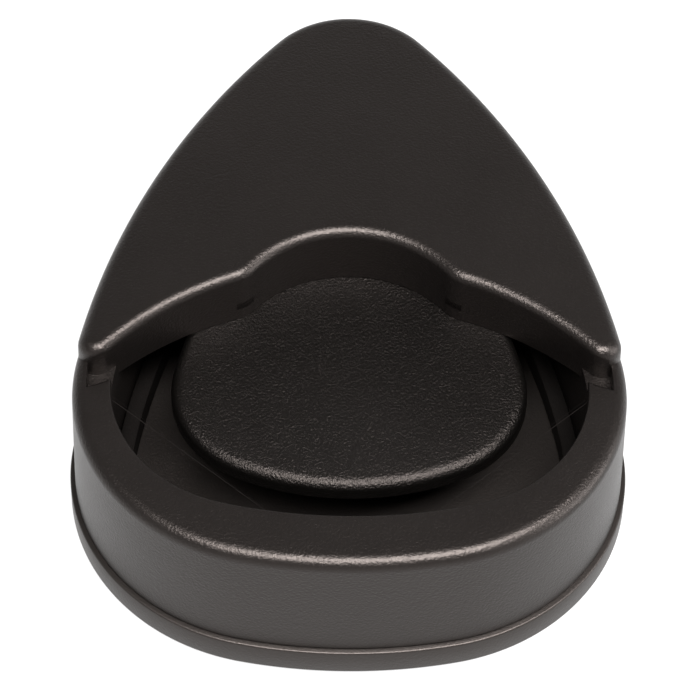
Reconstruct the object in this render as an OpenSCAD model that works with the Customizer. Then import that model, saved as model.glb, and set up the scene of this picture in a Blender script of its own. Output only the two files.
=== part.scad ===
// Pick holder: a pick-shaped case with a sprung platform that presses guitar picks up against the
// lip and ribs under its hood. +X is right, +Y points from the open front to the tip, +Z is up.
// The origin is the centre of the footprint, on the face that the holder rests or sticks on.

/* [Case] */
// Width of the case across its two broad corners
case_w = 38; // [34:0.2:45.6]
// Length of the case from the open front to the tip
case_l = 47.7; // [43:0.1:57.3]
// Height of the hood's crown above the resting face
case_h = 14.45; // [14:0.05:17.4]
// Height of the open front rim
rim_h = 11.85; // [11.5:0.05:12.2]
// Radius of the two broad corners
corner_r = 14.8; // [13:0.1:15.1]
// Radius of the tip
tip_r = 7.2; // [6:0.1:9]
// Radius of the bulging sides
side_r = 58; // [50:1:90]
// Thickness of the side walls at the broad corners
side_wall = 3.1; // [3:0.1:4.5]
// Thickness of the front wall
front_wall = 4.5; // [3.8:0.1:5.4]
// Thickness of the wall at the tip
tip_wall = 2.4; // [2:0.1:3.5]
// How far the crown of the hood falls towards the sides
crown_drop = 1.3; // [0.5:0.1:1.5]
// How far the crown of the hood falls towards the tip
tip_drop = 0.6; // [0:0.1:1]
// Thickness of the hood at its crown
hood_t = 2.8; // [2.6:0.1:3]
// Radius of the rounded outer edge
edge_r = 0.9; // [0.4:0.1:1.2]
// Lean of the side walls, in mm for each mm of height
draft = 0.02; // [0.01:0.005:0.05]

/* [Hood lip] */
// Radius of the lip seen from above, as a share of the case's width
lip_share = 0.606; // [0.57:0.002:0.7]
// Distance from the front of the case to the middle of the lip's arc
lip_y = 23.75; // [21:0.05:25]
// Radius of the thumb notch
notch_r = 8.5; // [7:0.1:9.5]
// Depth of the thumb notch behind the lip's arc
notch_depth = 2.5; // [1.5:0.1:3.5]
// Radius of the two shoulders between the lip and the notch
shoulder_r = 2.5; // [1:0.1:4]
// Thickness of the skirt that hangs from the lip
skirt_t = 1.6; // [1.2:0.1:2.4]
// Width of the relief groove between each end of the rim and the lip
relief_w = 1.6; // [0.6:0.1:1.8]
// Depth of the relief groove
relief_depth = 0.9; // [0.4:0.1:1.5]

/* [Base plate] */
// How far the base plate's edge stands proud of the case
plate_ledge = 0.33; // [0.1:0.01:0.5]
// Thickness of the base plate's flange
flange_t = 2.25; // [1.9:0.05:2.7]
// Depth of the recess that takes the adhesive pad
pad_recess = 0.87; // [0.4:0.01:0.9]
// Height of the rib that locates the base plate in the case
spigot_h = 1.3; // [0.8:0.1:2]
// Thickness of the locating rib
spigot_t = 1.2; // [0.8:0.1:1.6]
// Radius of the four press pins
pin_r = 1; // [0.8:0.05:1.1]
// Height of the press pins above the flange
pin_h = 3.6; // [2:0.1:5]

/* [Platform] */
// Width of the platform
platform_w = 24; // [20:0.2:25]
// Gap between the platform and the front wall
platform_gap = 3.9; // [2.5:0.1:5]
// Length of the platform
platform_l = 30.4; // [26:0.2:31]
// Radius of the platform's front corners
platform_corner_r = 7.5; // [5:0.1:8]
// Thickness of the platform
platform_t = 1.4; // [1.2:0.1:1.6]
// Distance from the rim down to the platform's face
platform_drop = 2.15; // [1.8:0.05:2.4]

/* [Spring] */
// Diameter of the spring's wire
wire_d = 0.5; // [0.4:0.05:0.6]
// Mean diameter of the bottom coil
spring_bottom_d = 11.8; // [9.8:0.1:13]
// Mean diameter of the top coil
spring_top_d = 7.5; // [6.5:0.1:9]
// Number of coils
coils = 4; // [3:1:5]

/* [Adhesive] */
// Thickness of the foam adhesive pad
pad_t = 1; // [0.8:0.05:1.2]
// Gap between the pad and the wall of its recess
pad_gap = 0.5; // [0.3:0.1:1.5]
// Thickness of the release liner
liner_t = 0.12; // [0.1:0.01:0.25]
// Width of the base plate's edge around the pad
pad_margin = 3.4; // [2.5:0.1:6]

/* [Hidden] */

arc_steps = 14;
round_fn = 64;
edge_steps = 5;
cap_steps = 6;
cut_over = 1;              // how far a cut runs past the face it opens
seat_gap = 0.05;           // between the platform and the stops above it
rib_gap = 0.3;             // between the platform's ears and the guide ribs
spigot_gap = 0.1;
pin_gap = 0.04;
pin_tip_gap = 0.3;

front_y = -case_l / 2;
tip_y = case_l / 2;
corner_y = front_y + 15.23;

// Heights, from the resting face up
flange_z = liner_t + pad_t - pad_recess;
case_z = flange_z + flange_t;
floor_z = case_z - 0.35;
platform_top = rim_h - platform_drop;
platform_under = platform_top - platform_t;
stop_z = platform_top + seat_gap;
ceiling_z = case_h - hood_t;
spigot_z = case_z + spigot_h;

// A pick outline is [tip y, tip radius, corner x, corner y, corner radius, side radius, front y].
case_pick = [tip_y - tip_r, tip_r, case_w / 2 - corner_r, corner_y, corner_r, side_r, front_y];

well_corner_r = 10;
well_tip_r = tip_r - tip_wall + 0.2;
well_pick = [
    tip_y - tip_wall - well_tip_r, well_tip_r,
    case_w / 2 - side_wall - well_corner_r, corner_y, well_corner_r,
    side_r - side_wall, front_y + front_wall
];

platform_front = front_y + front_wall + platform_gap;
platform_tip_r = 4;
platform_pick = [
    platform_front + platform_l - platform_tip_r, platform_tip_r,
    platform_w / 2 - platform_corner_r, platform_front + 8.5, platform_corner_r,
    side_r - side_wall - 5, platform_front
];

pad_pick = [for (i = [0:6]) case_pick[i]];

// Guide ribs and the ears that run on them
guide_y = case_l * 0.09;
guide_w = 1.8;
guide_depth = 2.2;
guide_x = pick_half_width(well_pick, guide_y) - guide_depth;
ear_w = 5.4;
ear_wall_gap = 0.5;
ear_x = pick_half_width(well_pick, guide_y + ear_w / 2) - ear_wall_gap;

// Ribs under the hood that hold the picks level
stop_rib_t = 1.2;
stop_rib_x = platform_w * 0.27;
stop_rib_front = front_y + lip_y + notch_depth;

// Press pins: two in the side walls, one in the front wall and one in a boss at the tip
tip_boss_r = 2.2;
tip_boss_y = tip_y - tip_wall - tip_boss_r - 0.3;
pin_x = case_w / 2 - (side_wall + plate_ledge) / 2;
pin_spots = [
    [pin_x, corner_y],
    [-pin_x, corner_y],
    [0, front_y + (front_wall + plate_ledge) / 2],
    [0, tip_boss_y]
];

// Spring seats
seat_ring_gap = 0.3;
seat_ring_t = 0.9;
seat_ring_h = 0.8;
seat_ring_r = (spring_bottom_d + wire_d) / 2 + seat_ring_gap;
boss_r = (spring_top_d - wire_d) / 2 - seat_ring_gap;
boss_h = 0.8;
spring_y = (platform_front * 2 + platform_l) / 2 - 0.8;
end_gap = 0.05;
wire_sides = 8;
flat_turn = 0.6;           // part of a turn that lies flat at each end
steps_per_coil = 20;

// ---- Outlines ----

function unit(v) = v / norm(v);
function angle_of(v) = atan2(v[1], v[0]);

// Centre of the side arc, which holds the tip circle and the corner circle tangent inside it
function side_centre(s) = let (
    tip = [0, s[0]], corner = [s[2], s[3]],
    gap = norm(corner - tip),
    to_tip = s[5] - s[1], to_corner = s[5] - s[4],
    along = (to_tip ^ 2 - to_corner ^ 2 + gap ^ 2) / (2 * gap),
    u = unit(corner - tip)
) tip + u * along - [-u[1], u[0]] * sqrt(to_tip ^ 2 - along ^ 2);

// Radius of the front arc that is tangent to both corner circles and reaches the front
function front_arc(s) = let (h = s[3] - s[6])
    (s[2] ^ 2 + h ^ 2 - s[4] ^ 2) / (2 * (h - s[4]));

function arc(centre, r, from, to) = [
    for (i = [0:arc_steps - 1])
        let (a = from + (to - from) * i / arc_steps) centre + r * [cos(a), sin(a)]
];

function pick_points(s, inset = 0) = let (
    tip = [0, s[0]], corner = [s[2], s[3]], side = side_centre(s),
    fr = front_arc(s), front = [0, s[6] + fr],
    a_front = angle_of(corner - front), a_corner = angle_of(corner - side),
    a_tip = angle_of(tip - side),
    right = concat(
        arc(front, fr - inset, -90, a_front),
        arc(corner, s[4] - inset, a_front, a_corner),
        arc(side, s[5] - inset, a_corner, a_tip),
        arc(tip, s[1] - inset, a_tip, 90)
    ),
    n = len(right)
) concat(right, [tip + [0, s[1] - inset]], [for (i = [n - 1:-1:1]) [-right[i][0], right[i][1]]]);

function pick_half_width(s, y) = let (c = side_centre(s)) c[0] + sqrt(s[5] ^ 2 - (y - c[1]) ^ 2);

// Point with x > 0 where circles about [0, a] and [0, b] of radius ra and rb cross
function crossing(a, ra, b, rb) = let (
    y = (ra ^ 2 - rb ^ 2 - a ^ 2 + b ^ 2) / (2 * (b - a))
) [sqrt(ra ^ 2 - (y - a) ^ 2), y];

lip_r = case_w * lip_share;
lip_c = front_y + lip_y - lip_r;
notch_c = front_y + lip_y + notch_depth - notch_r;
lip_end_x = case_w / 2 + cut_over;

// The lip's edge from the right end to the left, moved back by grow
function lip_points(grow = 0) = let (
    r1 = lip_r + grow, r2 = notch_r + grow, r3 = shoulder_r - grow,
    f = crossing(lip_c, r1 + r3, notch_c, r2 + r3),
    a1 = angle_of(f - [0, lip_c]), a2 = angle_of(f - [0, notch_c]),
    a0 = acos(lip_end_x / r1),
    right = concat(
        arc([0, lip_c], r1, a0, a1),
        arc(f, r3, a1 + 180, a2 + 180),
        arc([0, notch_c], r2, a2, 90)
    ),
    n = len(right)
) concat(right, [[0, notch_c + r2]], [for (i = [n - 1:-1:0]) [-right[i][0], right[i][1]]]);

module pick_2d(s, inset = 0) {
    polygon(pick_points(s, inset));
}

module pick_prism(s, z0, z1, inset = 0) {
    translate([0, 0, z0]) linear_extrude(z1 - z0) pick_2d(s, inset);
}

// Everything in front of the lip, moved back by grow
module front_of_lip_2d(grow = 0) {
    edge = lip_points(grow);
    far = front_y - case_w;
    polygon(concat(edge, [[-lip_end_x, far], [lip_end_x, far]]));
}

// ---- Sub-parts ----

// Height of the hood's crowned top over the point p, and of the flat rim
function hood_top(p) = case_h - crown_drop * (p[0] / (case_w / 2)) ^ 2 - tip_drop * (p[1] / tip_y) ^ 2;
function rim_top(p) = rim_h;

// A drafted body on the case outline with a rounded top edge, closed by rings that shrink to a point
module rounded_body(top) {
    lean = plate_ledge + draft * (rim_h - edge_r - case_z);
    foot = [for (p = pick_points(case_pick, plate_ledge)) [p[0], p[1], case_z]];
    shoulder = [for (p = pick_points(case_pick, lean)) [p[0], p[1], rim_h - edge_r]];
    edge = [
        for (k = [0:edge_steps]) let (a = 90 * k / edge_steps)
            [for (p = pick_points(case_pick, lean + edge_r * (1 - cos(a))))
                [p[0], p[1], top(p) - edge_r * (1 - sin(a))]]
    ];
    last = edge[edge_steps];
    cap = [
        for (k = [1:cap_steps - 1]) let (share = 1 - k / cap_steps)
            [for (q = last) let (p = [q[0], q[1]] * share) [p[0], p[1], top(p)]]
    ];
    flat = top([0, 0]) == top([case_w / 2, 0]);
    rings = concat([foot], flat ? edge : concat([shoulder], edge, cap));
    n = len(foot);
    m = len(rings);
    walls = [
        for (j = [0:m - 2], i = [0:n - 1]) let (
            a = j * n + i, b = j * n + (i + 1) % n
        ) each [[a, b + n, b], [a, a + n, b + n]]
    ];
    top_face = flat ? [[for (i = [n - 1:-1:0]) (m - 1) * n + i]]
        : [for (i = [0:n - 1]) [m * n, (m - 1) * n + (i + 1) % n, (m - 1) * n + i]];
    points = concat([for (r = rings) each r], flat ? [] : [[0, 0, top([0, 0])]]);
    polyhedron(points, concat([[for (i = [0:n - 1]) i]], walls, top_face), convexity = 6);
}

module hood_block() {
    difference() {
        rounded_body(function(p) hood_top(p));
        translate([0, 0, case_z - cut_over]) linear_extrude(case_h) front_of_lip_2d();
    }
}

// The well for the platform, up to the hood's ceiling
module well() {
    pick_prism(well_pick, case_z - cut_over, ceiling_z);
}

// Opens the well upwards in front of the lip
module mouth() {
    translate([0, 0, ceiling_z - cut_over]) linear_extrude(case_h) intersection() {
        front_of_lip_2d();
        pick_2d(well_pick);
    }
}

module skirt() {
    translate([0, 0, stop_z]) linear_extrude(ceiling_z - stop_z + cut_over / 2) intersection() {
        difference() {
            front_of_lip_2d(skirt_t);
            front_of_lip_2d();
        }
        pick_2d(well_pick, -cut_over / 2);
    }
}

module stop_ribs() {
    difference() {
        intersection() {
            for (x = [-stop_rib_x, 0, stop_rib_x])
                translate([x - stop_rib_t / 2, stop_rib_front + skirt_t / 2 - abs(x) / 2, stop_z])
                    cube([stop_rib_t, case_l, ceiling_z - stop_z + cut_over / 2]);
            pick_prism(well_pick, stop_z - cut_over, case_h, -cut_over / 2);
        }
        translate([0, 0, stop_z - cut_over]) linear_extrude(case_h) front_of_lip_2d(skirt_t / 2);
    }
}

module guide_ribs() {
    intersection() {
        for (side = [-1, 1])
            translate([side * (guide_x + case_w / 2), guide_y, (spigot_z + ceiling_z) / 2 + 0.4])
                cube([case_w, guide_w, ceiling_z - spigot_z], center = true);
        pick_prism(well_pick, spigot_z, ceiling_z + cut_over / 2, -cut_over / 2);
    }
}

module tip_boss() {
    translate([0, tip_boss_y, case_z])
        cylinder(r = tip_boss_r, h = ceiling_z - case_z + cut_over / 2, $fn = round_fn);
}

module pin_holes() {
    for (spot = pin_spots)
        translate([spot[0], spot[1], case_z - cut_over])
            cylinder(r = pin_r + pin_gap, h = pin_h + pin_tip_gap + cut_over, $fn = round_fn);
}

module relief_grooves() {
    outer_x = case_w / 2 - side_wall * 0.4;
    translate([0, 0, rim_h - relief_depth]) linear_extrude(relief_depth + cut_over) intersection() {
        difference() {
            front_of_lip_2d();
            front_of_lip_2d(-relief_w);
        }
        translate([-outer_x, front_y]) square([2 * outer_x, case_l]);
    }
}

module housing() {
    color([0.13, 0.12, 0.115]) difference() {
        union() {
            difference() {
                union() {
                    rounded_body(function(p) rim_top(p));
                    hood_block();
                }
                well();
                mouth();
                relief_grooves();
            }
            skirt();
            stop_ribs();
            guide_ribs();
            tip_boss();
        }
        pin_holes();
    }
}

module spigot() {
    difference() {
        pick_prism(well_pick, floor_z, spigot_z, spigot_gap);
        pick_prism(well_pick, floor_z - cut_over, spigot_z + cut_over, spigot_gap + spigot_t);
        translate([0, tip_boss_y, floor_z - cut_over])
            cylinder(r = tip_boss_r + spigot_gap, h = case_h, $fn = round_fn);
    }
}

module seat_ring() {
    translate([0, spring_y, floor_z]) difference() {
        cylinder(r = seat_ring_r + seat_ring_t, h = seat_ring_h, $fn = round_fn);
        cylinder(r = seat_ring_r, h = seat_ring_h + cut_over, $fn = round_fn);
    }
}

module base_plate() {
    color([0.14, 0.13, 0.125]) {
        difference() {
            pick_prism(case_pick, flange_z, case_z);
            pick_prism(case_pick, flange_z - cut_over, flange_z + pad_recess, pad_margin);
            pick_prism(well_pick, floor_z, case_z + cut_over, spigot_gap);
        }
        spigot();
        seat_ring();
        for (spot = pin_spots)
            translate([spot[0], spot[1], floor_z - 0.2])
                cylinder(r = pin_r, h = case_z - floor_z + pin_h + 0.2, $fn = round_fn);
    }
}

module ear_slots() {
    slot_x = guide_x - rib_gap;
    for (side = [-1, 1])
        translate([side * (slot_x + case_w / 2), guide_y, platform_under + platform_t / 2])
            cube([case_w, guide_w + 2 * rib_gap, platform_t + 2 * cut_over], center = true);
}

module pick_platform() {
    color([0.11, 0.105, 0.1]) {
        difference() {
            union() {
                pick_prism(platform_pick, platform_under, platform_top);
                translate([-ear_x, guide_y - ear_w / 2, platform_under])
                    cube([2 * ear_x, ear_w, platform_t]);
            }
            ear_slots();
        }
        translate([0, spring_y, platform_under - boss_h])
            cylinder(r = boss_r, h = boss_h + platform_t / 2, $fn = round_fn);
    }
}

// A conical coil whose end turns lie flat, so that it nests as it closes
function spring_turn(t) = t < flat_turn ? 0 : t > coils + flat_turn ? 1 : (t - flat_turn) / coils;
function spring_axis(t) = let (
    share = spring_turn(t),
    r = spring_bottom_d / 2 + (spring_top_d - spring_bottom_d) / 2 * share,
    low = floor_z + end_gap + wire_d / 2,
    high = platform_under - end_gap - wire_d / 2
) [r * cos(360 * t), r * sin(360 * t), low + (high - low) * share];

module spring() {
    turns = coils + 2 * flat_turn;
    rings = ceil(turns * steps_per_coil);
    points = [
        for (i = [0:rings]) let (
            t = turns * i / rings, c = spring_axis(t),
            out = [cos(360 * t), sin(360 * t), 0]
        ) for (k = [0:wire_sides - 1]) let (a = 360 * k / wire_sides)
            c + wire_d / 2 * (cos(a) * out + sin(a) * [0, 0, 1])
    ];
    walls = [
        for (i = [0:rings - 1], k = [0:wire_sides - 1]) let (
            a = i * wire_sides + k, b = i * wire_sides + (k + 1) % wire_sides
        ) each [[a, b, b + wire_sides], [a, b + wire_sides, a + wire_sides]]
    ];
    start = [for (k = [wire_sides - 1:-1:0]) k];
    end = [for (k = [0:wire_sides - 1]) rings * wire_sides + k];
    color([0.72, 0.72, 0.7]) translate([0, spring_y, 0])
        polyhedron(points, concat([start], walls, [end]), convexity = 10);
}

module adhesive_pad() {
    color([0.85, 0.85, 0.83])
        pick_prism(pad_pick, liner_t, liner_t + pad_t, pad_margin + pad_gap);
}

module release_liner() {
    color([0.93, 0.9, 0.8]) pick_prism(pad_pick, 0, liner_t, pad_margin + pad_gap * 0.4);
}

housing();
base_plate();
pick_platform();
spring();
adhesive_pad();
release_liner();
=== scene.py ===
"""Looks of the pick holder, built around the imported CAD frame. Lengths below are in millimetres."""

import math

import bpy
import numpy as np
from mathutils import Matrix, Vector
from mathutils.geometry import delaunay_2d_cdt


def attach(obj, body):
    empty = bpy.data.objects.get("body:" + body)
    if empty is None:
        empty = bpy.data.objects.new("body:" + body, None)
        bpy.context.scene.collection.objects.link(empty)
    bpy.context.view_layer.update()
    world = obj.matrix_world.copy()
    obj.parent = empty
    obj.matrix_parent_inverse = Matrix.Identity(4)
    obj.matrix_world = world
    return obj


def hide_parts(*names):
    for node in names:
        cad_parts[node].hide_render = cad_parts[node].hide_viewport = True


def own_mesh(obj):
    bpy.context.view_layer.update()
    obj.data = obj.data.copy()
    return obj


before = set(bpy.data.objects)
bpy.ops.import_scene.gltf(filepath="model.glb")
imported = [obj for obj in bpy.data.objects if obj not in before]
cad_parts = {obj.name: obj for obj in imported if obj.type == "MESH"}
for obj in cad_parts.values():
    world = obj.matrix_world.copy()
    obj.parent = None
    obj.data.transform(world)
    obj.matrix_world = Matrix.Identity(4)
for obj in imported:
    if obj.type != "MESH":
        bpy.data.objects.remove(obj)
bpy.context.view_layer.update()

MM = 0.001

# ---------------------------------------------------------------- sizes, as in the CAD part

CASE_W, CASE_L, CASE_H = 38.0, 47.7, 14.45
FRONT, TIP = -CASE_L / 2, CASE_L / 2
RIM_H = 11.85
BASE_Z, SEAM_Z = 0.25, 2.5
DRAFT = 0.02
LEDGE = 0.33
EDGE_R = 0.9
CROWN_DROP, TIP_DROP = 1.3, 0.6
PLATFORM_TOP, PLATFORM_T = 9.7, 1.4
SKIRT_Z = 9.75
JOIN_Z = 10.7
LIP_R, LIP_Y = 38.0 * 0.606, 23.75
NOTCH_R, NOTCH_DEPTH, SHOULDER_R = 8.5, 2.5, 2.5
LIP_C = FRONT + LIP_Y - LIP_R
NOTCH_C = FRONT + LIP_Y + NOTCH_DEPTH - NOTCH_R

# tip y, tip radius, corner x, corner y, corner radius, side radius, front y
PLATE_EDGE = (TIP - 7.2, 7.2, 19 - 14.8, FRONT + 15.23, 14.8, 58.0, FRONT)
WELL = (TIP - 2.4 - 5.0, 5.0, 19 - 3.1 - 10, FRONT + 15.23, 10.0, 54.9, FRONT + 4.5)
PLAT_FRONT = FRONT + 4.5 + 3.9
PLATE = (PLAT_FRONT + 30.4 - 4, 4.0, 12 - 7.5, PLAT_FRONT + 8.5, 7.5, 49.9, PLAT_FRONT)


def inset_pick(s, d):
    """The same outline, moved in by d."""
    return (s[0], s[1] - d, s[2], s[3], s[4] - d, s[5] - d, s[6] + d)


CASE = inset_pick(PLATE_EDGE, LEDGE)


# ---------------------------------------------------------------- plan curves

def angle_of(v):
    return math.atan2(v[1], v[0])


def arc(c, r, a, b, step, end=False):
    """Points on an arc about every step mm, with the end point only when end is set."""
    n = max(2, int(math.ceil(abs(r * (b - a)) / step)))
    t = np.linspace(a, b, n + 1)
    if not end:
        t = t[:-1]
    return np.array(c) + r * np.stack([np.cos(t), np.sin(t)], 1)


def side_centre(s):
    tip, corner = np.array([0, s[0]]), np.array([s[2], s[3]])
    gap = np.linalg.norm(corner - tip)
    to_tip, to_corner = s[5] - s[1], s[5] - s[4]
    along = (to_tip**2 - to_corner**2 + gap**2) / (2 * gap)
    u = (corner - tip) / gap
    return tip + u * along - np.array([-u[1], u[0]]) * math.sqrt(to_tip**2 - along**2)


def pick_arcs(s):
    """Centre, radius, start and end angle of the right half's arcs, front to tip."""
    tip, corner, side = np.array([0, s[0]]), np.array([s[2], s[3]]), side_centre(s)
    h = s[3] - s[6]
    fr = (s[2] ** 2 + h**2 - s[4] ** 2) / (2 * (h - s[4]))
    front = np.array([0, s[6] + fr])
    af, ac, at = angle_of(corner - front), angle_of(corner - side), angle_of(tip - side)
    return [
        (front, fr, -math.pi / 2, af),
        (corner, s[4], af, ac),
        (side, s[5], ac, at),
        (tip, s[1], at, math.pi / 2),
    ]


def pick_loop(s, step=0.3, inset=0.0):
    right = np.concatenate([arc(c, r - inset, a, b, step) for c, r, a, b in pick_arcs(s)])
    top = np.array([[0.0, s[0] + s[1] - inset]])
    return np.concatenate([right, top, right[:0:-1] * [-1, 1]])


def crossing(a, ra, b, rb):
    y = (ra**2 - rb**2 - a**2 + b**2) / (2 * (b - a))
    return np.array([math.sqrt(ra**2 - (y - a) ** 2), y])


def lip_half(x_end, step=0.3, grow=0.0):
    """The lip's right half from x_end to the middle, moved back by grow."""
    r1, r2, r3 = LIP_R + grow, NOTCH_R + grow, SHOULDER_R - grow
    f = crossing(LIP_C, r1 + r3, NOTCH_C, r2 + r3)
    a1, a2 = angle_of(f - [0, LIP_C]), angle_of(f - [0, NOTCH_C])
    a0 = math.acos(x_end / r1)
    return np.concatenate([
        arc((0, LIP_C), r1, a0, a1, step),
        arc(f, r3, a1 + math.pi, a2 + math.pi, step * 0.6),
        arc((0, NOTCH_C), r2, a2, math.pi / 2, step, True),
    ])


def lip_y(x, grow=0.0):
    x = np.abs(x)
    main = LIP_C + np.sqrt(np.maximum((LIP_R + grow) ** 2 - x**2, 0))
    notch = np.where(x < NOTCH_R + grow, NOTCH_C + np.sqrt(np.maximum((NOTCH_R + grow) ** 2 - x**2, 0)), -99)
    return np.maximum(main, notch)


def circles_meet(c1, r1, c2, r2, pick):
    c1, c2 = np.array(c1, float), np.array(c2, float)
    d = np.linalg.norm(c2 - c1)
    a = (r1**2 - r2**2 + d**2) / (2 * d)
    h = math.sqrt(r1**2 - a**2)
    u = (c2 - c1) / d
    out = [c1 + u * a + np.array([-u[1], u[0]]) * h * s for s in (1, -1)]
    return max(out, key=pick)


def circle(c, r, n=64):
    t = np.linspace(0, 2 * math.pi, n, endpoint=False)
    return np.array(c) + r * np.stack([np.cos(t), np.sin(t)], 1)


def well_half(y):
    if y < WELL[3]:
        return WELL[2] + math.sqrt(WELL[4] ** 2 - (y - WELL[3]) ** 2)
    return side_centre(WELL)[0] + math.sqrt(WELL[5] ** 2 - (y - side_centre(WELL)[1]) ** 2)


# ---------------------------------------------------------------- solids from loops

def normals_in(p):
    """Inward mitre vectors of a counter-clockwise loop: moving by them insets every side by 1."""
    e = np.roll(p, -1, 0) - p
    e /= np.linalg.norm(e, axis=1)[:, None]
    n = np.stack([-e[:, 1], e[:, 0]], 1)
    m = n + np.roll(n, 1, 0)
    return m / np.maximum((m * m).sum(1) / 2, 0.35)[:, None]


def make(name, verts, faces, body=None, smooth=38.0):
    me = bpy.data.meshes.new(name)
    me.from_pydata([tuple(v) for v in np.asarray(verts, float) * MM], [], [tuple(int(i) for i in f) for f in faces])
    me.validate()
    me.polygons.foreach_set("use_smooth", [True] * len(me.polygons))
    me.set_sharp_from_angle(angle=math.radians(smooth))
    ob = bpy.data.objects.new(name, me)
    bpy.context.scene.collection.objects.link(ob)
    if body:
        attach(ob, body)
    return ob


def cap_faces(loop, spacing, n0):
    """Triangles that fill a loop, with its own points first and then the inner points."""
    lo, hi = loop.min(0), loop.max(0)
    g = []
    row = 0
    y = lo[1] + spacing / 2
    while y < hi[1]:
        x = lo[0] + spacing / 2 + (spacing / 2 if row % 2 else 0)
        while x < hi[0]:
            g.append((x, y))
            x += spacing
        y += spacing * 0.87
        row += 1
    g = np.array(g).reshape(-1, 2)
    a, b = loop, np.roll(loop, -1, 0)
    inside = np.zeros(len(g), bool)
    near = np.full(len(g), 1e9)
    for p, q in zip(a, b):
        cross = (p[1] > g[:, 1]) != (q[1] > g[:, 1])
        with np.errstate(divide="ignore", invalid="ignore"):
            xx = (q[0] - p[0]) * (g[:, 1] - p[1]) / (q[1] - p[1] + 1e-30) + p[0]
        inside ^= cross & (g[:, 0] < xx)
        d = q - p
        t = np.clip(((g - p) @ d) / max(d @ d, 1e-12), 0, 1)
        near = np.minimum(near, np.linalg.norm(g - (p + t[:, None] * d), axis=1))
    g = g[inside & (near > spacing * 0.45)]
    pts = np.concatenate([loop, g]) if len(g) else loop
    n = len(loop)
    edges = [(i, (i + 1) % n) for i in range(n)]
    out = delaunay_2d_cdt([Vector(p) for p in pts], edges, [list(range(n))], 1, 1e-7)
    orig = out[3]
    ids = []
    extra = []
    for k, o in enumerate(orig):
        if len(o):
            ids.append(min(o))
        else:
            ids.append(len(pts) + len(extra))
            extra.append(tuple(out[0][k]))
    pts = np.concatenate([pts, np.array(extra)]) if extra else pts
    faces = [[ids[i] for i in f] for f in out[2]]
    return pts[n:], faces


def solid(name, loop, z0, top, radius, body=None, lean=0.0, lean_from=SEAM_Z, steps=6, spacing=1.0,
          foot=0.0, foot_drop=0.5, bottom_r=0.0, walls=3, smooth=38.0):
    """A solid on a counter-clockwise loop. radius and lean may vary from point to point. The top is a
    function of x and y. A foot starts the wall inside by foot mm, foot_drop below z0."""
    n = len(loop)
    radius = np.broadcast_to(np.asarray(radius, float), (n,))
    lean = np.broadcast_to(np.asarray(lean, float), (n,))
    nin = normals_in(loop)
    rings = []

    def ring(z, extra=0.0, drop=None):
        z = np.broadcast_to(np.asarray(z, float), (n,))
        d = lean * (z - lean_from) + extra
        p = loop + nin * d[:, None]
        return np.concatenate([p, z[:, None]], 1)

    t0 = top(loop[:, 0], loop[:, 1])
    if foot:
        rings.append(ring(z0 - foot_drop, foot))
        rings.append(ring(z0 - 0.02, foot))
    if bottom_r:
        for k in range(4):
            a = math.pi / 2 * k / 4
            rings.append(ring(z0 + bottom_r * (1 - math.cos(a)), bottom_r * (1 - math.sin(a))))
        start = z0 + bottom_r
    else:
        start = z0
    for k in range(walls):
        f = k / walls
        rings.append(ring(start + (t0 - radius - start) * f))
    for k in range(steps + 1):
        a = math.pi / 2 * k / steps
        d = lean * (t0 - radius - lean_from) + radius * (1 - math.cos(a))
        p = loop + nin * d[:, None]
        z = top(p[:, 0], p[:, 1]) - radius * (1 - math.sin(a))
        rings.append(np.concatenate([p, z[:, None]], 1))
    verts = np.concatenate(rings)
    faces = []
    for j in range(len(rings) - 1):
        a, b = j * n, (j + 1) * n
        for i in range(n):
            i2 = (i + 1) % n
            faces.append((a + i, a + i2, b + i2, b + i))
    last = (len(rings) - 1) * n
    inner, cap = cap_faces(rings[-1][:, :2], spacing, n)
    base = len(verts)
    if len(inner):
        z = top(inner[:, 0], inner[:, 1])
        verts = np.concatenate([verts, np.concatenate([inner, z[:, None]], 1)])
    for f in cap:
        faces.append([last + i if i < n else base + i - n for i in f])
    inner, cap = cap_faces(rings[0][:, :2], 50.0, n)
    for f in cap:
        faces.append([i for i in f[::-1]])
    return make(name, verts, faces, body, smooth)


def ring_solid(name, outer, inner, z0, z1, body=None, lean=0.0, r_out=0.0, r_in=0.0, steps=4, chamfer=0.0):
    """A flat ring between two loops of the same length."""
    n = len(outer)
    no, ni = normals_in(outer), -normals_in(inner)
    rows = []

    def row(loop, nrm, d, z):
        rows.append(np.concatenate([loop + nrm * d, np.full((n, 1), z)], 1))

    row(outer, no, chamfer, z0)
    if chamfer:
        row(outer, no, 0, z0 + chamfer)
    top = z1 - r_out
    row(outer, no, lean * (top - z0), top)
    if r_out:
        for k in range(1, steps + 1):
            a = math.pi / 2 * k / steps
            row(outer, no, lean * (top - z0) + r_out * (1 - math.cos(a)), top + r_out * math.sin(a))
    if r_in:
        for k in range(steps, 0, -1):
            a = math.pi / 2 * k / steps
            row(inner, ni, r_in * (1 - math.cos(a)), z1 - r_in * (1 - math.sin(a)))
    row(inner, ni, 0, z1 - r_in)
    row(inner, ni, 0, z0)
    m = len(rows)
    verts = np.concatenate(rows)
    faces = []
    for j in range(m):
        a, b = j * n, ((j + 1) % m) * n
        for i in range(n):
            i2 = (i + 1) % n
            faces.append((a + i, a + i2, b + i2, b + i))
    return make(name, verts, faces, body)


def same_count(outer, inner):
    """The inner loop, resampled to the outer loop's count at equal shares of its length."""
    p = np.concatenate([inner, inner[:1]])
    s = np.r_[0, np.cumsum(np.linalg.norm(np.diff(p, axis=0), axis=1))]
    q = np.concatenate([outer, outer[:1]])
    t = np.r_[0, np.cumsum(np.linalg.norm(np.diff(q, axis=0), axis=1))]
    t = t[:-1] / t[-1] * s[-1]
    return np.stack([np.interp(t, s, p[:, 0]), np.interp(t, s, p[:, 1])], 1)


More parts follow.
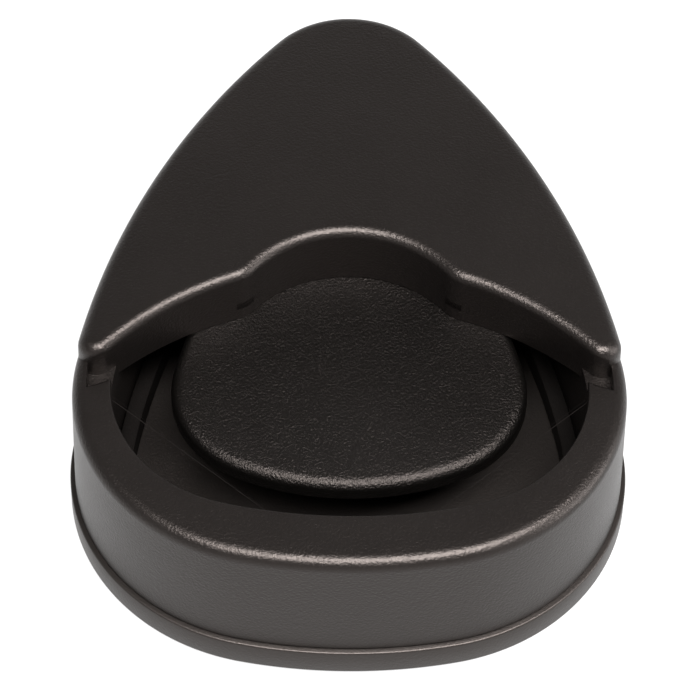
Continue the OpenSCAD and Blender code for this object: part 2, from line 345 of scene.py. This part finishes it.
def hood_top(x, y):
    return CASE_H - CROWN_DROP * (x / (CASE_W / 2)) ** 2 - TIP_DROP * (y / TIP) ** 2


def flat_top(z):
    return lambda x, y: np.full(np.shape(x), float(z))


# ---------------------------------------------------------------- housing

BODY = "case"


def mirrored(right):
    """Closes a right half that runs from the front middle to the back middle."""
    return np.concatenate([right, right[-2:0:-1] * [-1, 1]])


# The low wall, all round, up to the bottom of the relief grooves
outline = pick_loop(CASE, 0.3)
well = same_count(outline, pick_loop(WELL, 0.2))
low_wall = ring_solid("housing_wall", outline, well, SEAM_Z, JOIN_Z, BODY, lean=DRAFT, chamfer=0.12)

# The hood: outline behind the lip, rounded corners, lip
CORNER_R = 1.3
arcs = pick_arcs(CASE)


def lip_meets_outline():
    """Which outline arc the lip ends on, the centre of the rounded corner there and its angle."""
    for k in (1, 2):
        c, r, a, b = arcs[k]
        at = circles_meet(c, r - CORNER_R, (0, LIP_C), LIP_R + CORNER_R, lambda p: p[0])
        if a <= angle_of(at - c) <= b:
            return k, at, angle_of(at - c)


end_arc, hood_corner, a_start = lip_meets_outline()
end_c, end_r = arcs[end_arc][:2]
a_lip = angle_of(np.array([0, LIP_C]) - hood_corner)
right_out = np.concatenate(
    [arc(end_c, end_r, a_start, arcs[end_arc][3], 0.3)]
    + [arc(c, r, a, b, 0.3) for c, r, a, b in arcs[end_arc + 1:]]
    + [np.array([[0.0, CASE[0] + CASE[1]]])]
)
corner_right = arc(hood_corner, CORNER_R, a_lip, a_start, 0.12)
lip_right = lip_half((hood_corner + CORNER_R * np.array([math.cos(a_lip), math.sin(a_lip)]))[0], 0.28)
# counter-clockwise: lip's left half is walked from the middle out to the right end
lip_mid_to_right = lip_right[::-1]
half = np.concatenate([lip_mid_to_right[:-1], corner_right, right_out])
hood_loop = np.concatenate([half, half[-2:0:-1] * [-1, 1]])
kinds = np.concatenate([
    np.zeros(len(lip_mid_to_right) - 1), np.linspace(0, 1, len(corner_right)), np.ones(len(right_out))
])
kinds = np.concatenate([kinds, kinds[-2:0:-1]])
kinds = kinds * kinds * (3 - 2 * kinds)
LIP_EDGE_R = 0.75
hood = solid("housing_hood", hood_loop, JOIN_Z, hood_top, LIP_EDGE_R + (EDGE_R - LIP_EDGE_R) * kinds, BODY,
             lean=DRAFT * kinds, steps=8, foot=0.12, spacing=0.9)

# The skirt below the hood's lip
skirt_front = lip_half(15.9, 0.3)
skirt_back = lip_half(15.9, 0.3, 1.6)
sf = np.concatenate([skirt_front, skirt_front[-2::-1] * [-1, 1]])
sb = np.concatenate([skirt_back, skirt_back[-2::-1] * [-1, 1]])
skirt_loop = np.concatenate([sb, sf[::-1]])[::-1]
skirt = None


def strip_solid(name, loop, z0, z1, body, r=0.0, smooth=38.0):
    area = 0.5 * np.sum(loop[:, 0] * np.roll(loop[:, 1], -1) - np.roll(loop[:, 0], -1) * loop[:, 1])
    if area < 0:
        loop = loop[::-1]
    return solid(name, loop, z0, flat_top(z1), r, body, steps=3 if r else 1, walls=1, spacing=50, smooth=smooth)


skirt = strip_solid("housing_skirt", skirt_loop, SKIRT_Z, JOIN_Z + 0.6, BODY)

# The front rim above the low wall: in front of the lip, less the two relief grooves
GROOVE_OUT = np.array([17.5, -8.8])
GROOVE_IN = np.array([well_half(-8.2), -8.2])
outer = np.concatenate([arc(*a, 0.3) for a in arcs[:end_arc]]
                       + [arc(end_c, end_r, arcs[end_arc][2], a_start, 0.3, True)])
hidden = arc(end_c, end_r - 0.06, a_start + 0.3 / end_r, a_start + 1.7 / end_r, 0.4, True)
back = [(GROOVE_OUT[0], hidden[-1][1])]
wloop = np.concatenate([arc(c, r, a, b, 0.3) for c, r, a, b in pick_arcs(WELL)])
well_front = wloop[(wloop[:, 1] < GROOVE_IN[1] - 0.1) & (wloop[:, 0] >= 0)]
groove = [tuple(GROOVE_OUT + (GROOVE_IN - GROOVE_OUT) * f) for f in np.linspace(0, 1, 5)]
right = np.concatenate([outer, hidden, back, groove, well_front[::-1]])
n_inner = len(back) + len(groove) + len(well_front)
rround = np.concatenate([np.ones(len(outer)), np.linspace(1, 0, len(hidden)), np.zeros(len(back)),
                         np.full(len(groove) - 1, 0.2), np.zeros(n_inner - len(back) - len(groove) + 1)])
rlean = np.concatenate([np.ones(len(outer) + len(hidden)), np.zeros(n_inner)])
rim_loop = np.concatenate([right, right[::-1] * [-1, 1]])
rround, rlean = np.concatenate([rround, rround[::-1]]), np.concatenate([rlean, rlean[::-1]])
# drop repeated points on the middle line
keep = np.linalg.norm(np.roll(rim_loop, -1, 0) - rim_loop, axis=1) > 1e-6
rim_loop, rround, rlean = rim_loop[keep], rround[keep], rlean[keep]
# The ring is open at the back, so its loop runs round the front and back along the well
rim = solid("housing_rim", rim_loop, JOIN_Z, flat_top(RIM_H), 0.16 + (EDGE_R - 0.16) * rround, BODY,
            lean=DRAFT * rlean, steps=8, foot=0.12, spacing=1.0)

# Inside: stop ribs, guide ribs, tip boss
def box_solid(name, lo, hi, body=BODY):
    x0, y0, z0 = lo
    x1, y1, z1 = hi
    v = [(x, y, z) for z in (z0, z1) for x, y in ((x0, y0), (x1, y0), (x1, y1), (x0, y1))]
    f = [(0, 3, 2, 1), (4, 5, 6, 7), (0, 1, 5, 4), (1, 2, 6, 5), (2, 3, 7, 6), (3, 0, 4, 7)]
    return make(name, v, f, body)


housing_bits = []
for i, x in enumerate((-6.48, 0.0, 6.48)):
    y0 = FRONT + LIP_Y + NOTCH_DEPTH + 0.9 - abs(x) * 0.4
    y1 = 14.0 if x else 17.0
    housing_bits.append(box_solid("housing_rib_%d" % i, (x - 0.6, y0, SKIRT_Z), (x + 0.6, y1, JOIN_Z + 0.3)))
gy = CASE_L * 0.09
gx = well_half(gy) - 2.2
for i, s in enumerate((-1, 1)):
    xs = sorted((s * gx, s * (gx + 2.9)))
    housing_bits.append(box_solid("housing_guide_%d" % i, (xs[0], gy - 0.9, 3.8), (xs[1], gy + 0.9, JOIN_Z + 0.3)))
boss_y = TIP - 2.4 - 2.2 - 0.3
housing_bits.append(solid("housing_boss", circle((0, boss_y), 2.2), 2.6, flat_top(JOIN_Z + 0.3), 0.0, BODY, steps=1, walls=1, spacing=50))
HOUSING = [low_wall, hood, rim, skirt] + housing_bits
for ob in HOUSING:
    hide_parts("housing")

# ---------------------------------------------------------------- base plate

FLOOR_Z, PAD_ROOF_Z, SPIGOT_Z = 2.15, 1.12, 3.8
PAD_MARGIN, SPIGOT_GAP, SPIGOT_T = 3.4, 0.1, 1.2
SEAM_TOP = SEAM_Z - 0.07
SPRING_C = np.array([0, PLAT_FRONT + 15.2 - 0.8])


def stack_solid(name, rows, body, smooth=38.0):
    """A closed body from rings of the same count, capped at the first and the last."""
    n = len(rows[0][0])
    verts = np.concatenate([np.concatenate([p, np.full((n, 1), float(z))], 1) for p, z in rows])
    faces = []
    for j in range(len(rows) - 1):
        a, b = j * n, (j + 1) * n
        faces += [(a + i, a + (i + 1) % n, b + (i + 1) % n, b + i) for i in range(n)]
    last = (len(rows) - 1) * n
    faces += [[last + i for i in f] for f in cap_faces(rows[-1][0], 50.0, n)[1]]
    faces += [list(f[::-1]) for f in cap_faces(rows[0][0], 50.0, n)[1]]
    return make(name, verts, faces, body, smooth)


edge = pick_loop(PLATE_EDGE, 0.3)


def well_inset(d):
    return same_count(edge, pick_loop(inset_pick(WELL, d), 0.2))


pad_hole = same_count(edge, pick_loop(inset_pick(PLATE_EDGE, PAD_MARGIN), 0.2))
bottom_arc = [(inset, BASE_Z + z) for inset, z in ((0.2, 0), (0.1, 0.03), (0.03, 0.1), (0, 0.2))]
top_arc = [(inset, SEAM_TOP - z) for inset, z in ((0, 0.14), (0.02, 0.07), (0.07, 0.02), (0.14, 0))]
rows = [(pad_hole, PAD_ROOF_Z), (pad_hole, BASE_Z)]
rows += [(edge + normals_in(edge) * inset, z) for inset, z in bottom_arc + top_arc]
rows += [(well_inset(SPIGOT_GAP), SEAM_TOP), (well_inset(SPIGOT_GAP), FLOOR_Z)]
BASE = [
    stack_solid("base_plate_flange", rows, BODY),
    ring_solid("base_plate_spigot", well_inset(SPIGOT_GAP), well_inset(SPIGOT_GAP + SPIGOT_T), FLOOR_Z - 0.05,
               SPIGOT_Z, BODY, r_out=0.2, r_in=0.2, steps=2),
    ring_solid("base_plate_seat", circle(SPRING_C, 7.35), circle(SPRING_C, 6.45), FLOOR_Z - 0.05, FLOOR_Z + 0.8,
               BODY, r_out=0.15, r_in=0.15, steps=2),
]
for ob in BASE:
    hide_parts("base_plate")

# ---------------------------------------------------------------- platform

PLATFORM_EDGE_R = 0.8
EAR_W, RIB_GAP = 5.4, 0.3
PLATFORM_UNDER = PLATFORM_TOP - PLATFORM_T
plat_loop = pick_loop(PLATE, 0.25)
PLATFORM = [solid("platform_top", plat_loop, PLATFORM_UNDER, flat_top(PLATFORM_TOP), PLATFORM_EDGE_R, "platform",
                  steps=8, spacing=1.0)]
ear_x, slot_x = well_half(gy + EAR_W / 2) - 0.5, gx - RIB_GAP
slot = 0.9 + RIB_GAP
ear = np.array([(10, gy - EAR_W / 2), (ear_x, gy - EAR_W / 2), (ear_x, gy - slot), (slot_x, gy - slot),
                (slot_x, gy + slot), (ear_x, gy + slot), (ear_x, gy + EAR_W / 2), (10, gy + EAR_W / 2)])
for i, loop in enumerate((ear, ear[::-1] * [-1, 1])):
    PLATFORM.append(solid("platform_ear_%d" % i, loop, PLATFORM_UNDER + 0.01, flat_top(PLATFORM_TOP - 0.01), 0.0,
                          "platform", steps=1, walls=1, spacing=50))
PLATFORM.append(solid("platform_boss", circle(SPRING_C, 3.2), PLATFORM_UNDER - 0.8, flat_top(PLATFORM_UNDER + 0.1),
                      0.0, "platform", steps=1, walls=1, spacing=50))
for ob in PLATFORM:
    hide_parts("pick_platform")

# ---------------------------------------------------------------- spring

WIRE_D, COILS, FLAT_TURN = 0.5, 4, 0.6
LOW_Z, HIGH_Z = FLOOR_Z + 0.05 + WIRE_D / 2, PLATFORM_UNDER - 0.05 - WIRE_D / 2
turns, sides = COILS + 2 * FLAT_TURN, 12
t = np.linspace(0, turns, int(turns * 44) + 1)
share = np.clip((t - FLAT_TURN) / COILS, 0, 1)
share = share * 0.6 + 0.4 * share * share * (3 - 2 * share)
radius = (11.8 + (7.5 - 11.8) * share) / 2
out = np.stack([np.cos(2 * math.pi * t), np.sin(2 * math.pi * t)], 1)
verts = []
for k in range(sides):
    a = 2 * math.pi * k / sides
    p = SPRING_C + out * (radius + WIRE_D / 2 * math.cos(a))[:, None]
    z = LOW_Z + (HIGH_Z - LOW_Z) * share + WIRE_D / 2 * math.sin(a)
    verts.append(np.concatenate([p, z[:, None]], 1))
verts = np.stack(verts, 1).reshape(-1, 3)
faces = [(i * sides + k, i * sides + (k + 1) % sides, (i + 1) * sides + (k + 1) % sides, (i + 1) * sides + k)
         for i in range(len(t) - 1) for k in range(sides)]
faces += [tuple(range(sides))[::-1], tuple((len(t) - 1) * sides + k for k in range(sides))]
spring = make("spring_wire", verts, faces, BODY, smooth=60)
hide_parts("spring")
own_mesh(spring)

# ---------------------------------------------------------------- materials

def nodes_of(name):
    m = bpy.data.materials.new(name)
    m.use_nodes = True
    nt = m.node_tree
    return m, nt, nt.nodes["Principled BSDF"]


def link(nt, a, b):
    nt.links.new(a, b)


def plastic(name, color, rough, grain_mm, bump, spec=0.5, vary=0.04, tint=(1.0, 0.87, 0.81), depth=0.25):
    """Moulded plastic: a fine grain in the bump and a slight change of gloss."""
    m, nt, p = nodes_of(name)
    p.inputs["Base Color"].default_value = (*color, 1)
    p.inputs["Specular IOR Level"].default_value = spec
    p.inputs["Specular Tint"].default_value = (*tint, 1)
    co = nt.nodes.new("ShaderNodeTexCoord")
    n1 = nt.nodes.new("ShaderNodeTexNoise")
    n1.inputs["Scale"].default_value = 1000.0 / grain_mm
    n1.inputs["Detail"].default_value = 3.0
    n1.inputs["Roughness"].default_value = 0.6
    link(nt, co.outputs["Object"], n1.inputs["Vector"])
    b = nt.nodes.new("ShaderNodeBump")
    b.inputs["Strength"].default_value = bump
    b.inputs["Distance"].default_value = grain_mm * depth * MM
    link(nt, n1.outputs["Fac"], b.inputs["Height"])
    link(nt, b.outputs["Normal"], p.inputs["Normal"])
    n2 = nt.nodes.new("ShaderNodeTexNoise")
    n2.inputs["Scale"].default_value = 160.0
    n2.inputs["Detail"].default_value = 4.0
    link(nt, co.outputs["Object"], n2.inputs["Vector"])
    r = nt.nodes.new("ShaderNodeMapRange")
    r.inputs["To Min"].default_value = rough - vary
    r.inputs["To Max"].default_value = rough + vary
    link(nt, n2.outputs["Fac"], r.inputs["Value"])
    link(nt, r.outputs["Result"], p.inputs["Roughness"])
    return m


housing_mat = plastic("housing_black", (0.0028, 0.0023, 0.0021), 0.36, 0.18, 0.9, spec=0.4, depth=0.25)
base_mat = plastic("base_black", (0.0045, 0.0038, 0.0034), 0.42, 0.2, 0.5, spec=0.46)
platform_mat = plastic("platform_black", (0.001, 0.0009, 0.0008), 0.34, 0.16, 1.0, spec=0.27, depth=0.45)
# Painted shade: a darker, duller copy of the base plate plastic for the spigot and the seat ring, which stand in
# the shaded well. They are the same moulding as the flange.
shaded_copy_inside_mat = plastic("base_black_painted_shade", (0.0015, 0.0013, 0.0012), 0.65, 0.2, 0.5, spec=0.1)

steel, nt, p = nodes_of("spring_steel")
p.inputs["Base Color"].default_value = (0.62, 0.61, 0.59, 1)
p.inputs["Metallic"].default_value = 1.0
p.inputs["Roughness"].default_value = 0.28
foam = plastic("foam_tape", (0.72, 0.72, 0.69), 0.85, 0.3, 0.5, 0.2, tint=(1, 1, 1))
liner = plastic("liner_paper", (0.78, 0.72, 0.55), 0.5, 0.4, 0.15, 0.4, tint=(1, 1, 1))


def paint(ob, m):
    ob.data.materials.clear()
    ob.data.materials.append(m)


for ob in HOUSING:
    paint(ob, housing_mat)
# The flange gets the base plastic. The spigot and the seat ring get its darker copy, which is painted shade for the
# well.
for ob in BASE:
    paint(ob, base_mat if ob.name == "base_plate_flange" else shaded_copy_inside_mat)
for ob in PLATFORM:
    paint(ob, platform_mat)
paint(spring, steel)
for node, m in (("housing", housing_mat), ("base_plate", base_mat), ("pick_platform", platform_mat),
                ("spring", steel), ("adhesive_pad", foam), ("release_liner", liner)):
    paint(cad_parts[node], m)

# ---------------------------------------------------------------- stage, light and camera

scene = bpy.context.scene
scene.view_settings.view_transform = "Standard"
scene.view_settings.look = "None"

bpy.ops.mesh.primitive_plane_add(size=4.0, location=(0, 0, -0.00005))
floor = bpy.context.active_object
floor.name = "floor"
fm, nt, p = nodes_of("floor_white")
p.inputs["Base Color"].default_value = (0.12, 0.12, 0.12, 1)
p.inputs["Roughness"].default_value = 0.9
p.inputs["Specular IOR Level"].default_value = 0.1
p.inputs["Emission Color"].default_value = (1, 1, 1, 1)
p.inputs["Emission Strength"].default_value = 0.85
paint(floor, fm)

world = bpy.data.worlds.new("studio")
scene.world = world
world.use_nodes = True
wt = world.node_tree
bg = wt.nodes["Background"]
wco = wt.nodes.new("ShaderNodeTexCoord")
wsep = wt.nodes.new("ShaderNodeSeparateXYZ")
wramp = wt.nodes.new("ShaderNodeValToRGB")
wt.links.new(wco.outputs["Generated"], wsep.inputs[0])
wt.links.new(wsep.outputs["Z"], wramp.inputs["Fac"])
wt.links.new(wramp.outputs["Color"], bg.inputs["Color"])
ramp = wramp.color_ramp
ramp.elements[0].position, ramp.elements[0].color = 0.0, (1, 1, 1, 1)
ramp.elements[1].position, ramp.elements[1].color = 1.0, (0.08, 0.08, 0.08, 1)
for pos, v in ((0.25, 0.75), (0.5, 0.5), (0.66, 0.36), (0.8, 0.13)):
    el = ramp.elements.new(pos)
    el.color = (v, v, v, 1)
bg.inputs["Strength"].default_value = 0.62


def area(name, loc, aim, size, power, size_y=None):
    ld = bpy.data.lights.new(name, "AREA")
    ld.shape = "RECTANGLE"
    ld.size = size
    ld.size_y = size_y or size
    ld.energy = power
    ob = bpy.data.objects.new(name, ld)
    scene.collection.objects.link(ob)
    ob.location = loc
    ob.rotation_mode = "QUATERNION"
    ob.rotation_quaternion = (Vector(aim) - Vector(loc)).to_track_quat("-Z", "Y")
    return ob


area("key_top", (0.06, -0.18, 0.42), (0, 0, 0), 0.42, 8.5, 0.13)
area("back_strip", (0.0, 0.42, 0.18), (0, 0, 0.01), 0.5, 0.12, 0.07)
area("side_right", (0.36, -0.06, 0.10), (0, 0, 0.005), 0.2, 0.9, 0.14)

E, YAW, ROLL, DIST = 51.6, -1.02, 1.16, 0.26
SCALE = 14.567
e, ya, ro = (math.radians(v) for v in (E, YAW, ROLL))
back_v = Vector((math.sin(ya) * math.cos(e), -math.cos(ya) * math.cos(e), math.sin(e)))
right_v = Vector((math.cos(ya), math.sin(ya), 0))
up_v = back_v.cross(right_v)
r2 = right_v * math.cos(ro) + up_v * math.sin(ro)
u2 = -right_v * math.sin(ro) + up_v * math.cos(ro)
target = Vector((0.085, -1.862, 7.0)) * MM
cam_data = bpy.data.cameras.new("camera")
cam = bpy.data.objects.new("camera", cam_data)
scene.collection.objects.link(cam)
scene.camera = cam
cam_data.sensor_width = 36
cam_data.lens = SCALE * (DIST / MM) / 700 * 36
cam_data.clip_start, cam_data.clip_end = 0.01, 20
cam.matrix_world = Matrix((
    (r2.x, u2.x, back_v.x, target.x + back_v.x * DIST),
    (r2.y, u2.y, back_v.y, target.y + back_v.y * DIST),
    (r2.z, u2.z, back_v.z, target.z + back_v.z * DIST),
    (0, 0, 0, 1),
))
